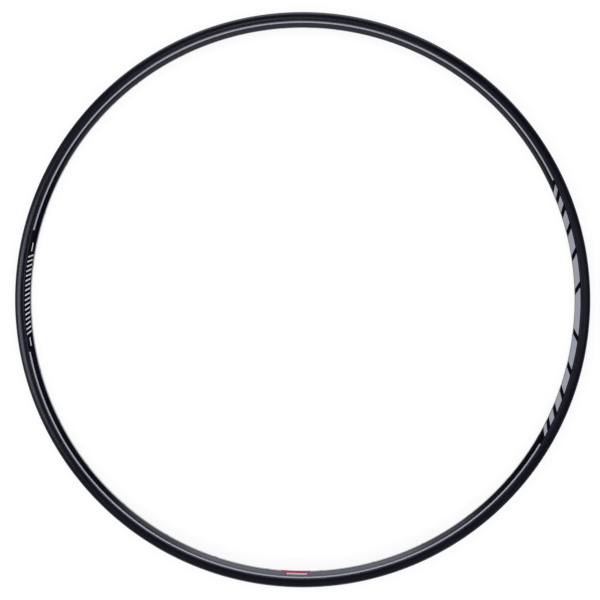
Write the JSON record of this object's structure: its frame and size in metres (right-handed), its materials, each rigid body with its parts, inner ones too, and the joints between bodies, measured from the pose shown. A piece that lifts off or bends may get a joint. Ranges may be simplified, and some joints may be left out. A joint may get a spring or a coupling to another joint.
{
  "type": "bicycle rim",
  "caption": "Black double-wall alloy bicycle rim with hooked flanges for a 622 mm tyre, drilled in its spoke bed for nipples and a valve, with a light grey printed line.",
  "frame": {"origin": "the centre of the hoop, on its axis and in its mid plane", "axes": "+Z along the hoop's axis, out of the side that carries the graphics; +Y towards the valve hole; +X to the right for a viewer who looks at that side with the valve hole up"},
  "size_m": [0.634, 0.634, 0.026],
  "materials": {
    "hoop_black": "satin",
    "sleeve_alloy": "satin",
    "print_grey": "satin",
    "print_white": "satin",
    "sticker_red": "gloss"
  },
  "bodies": {
    "root": {"rim_hoop": "hoop_black", "joint_sleeve": "sleeve_alloy"}
  },
  "joints": []
}
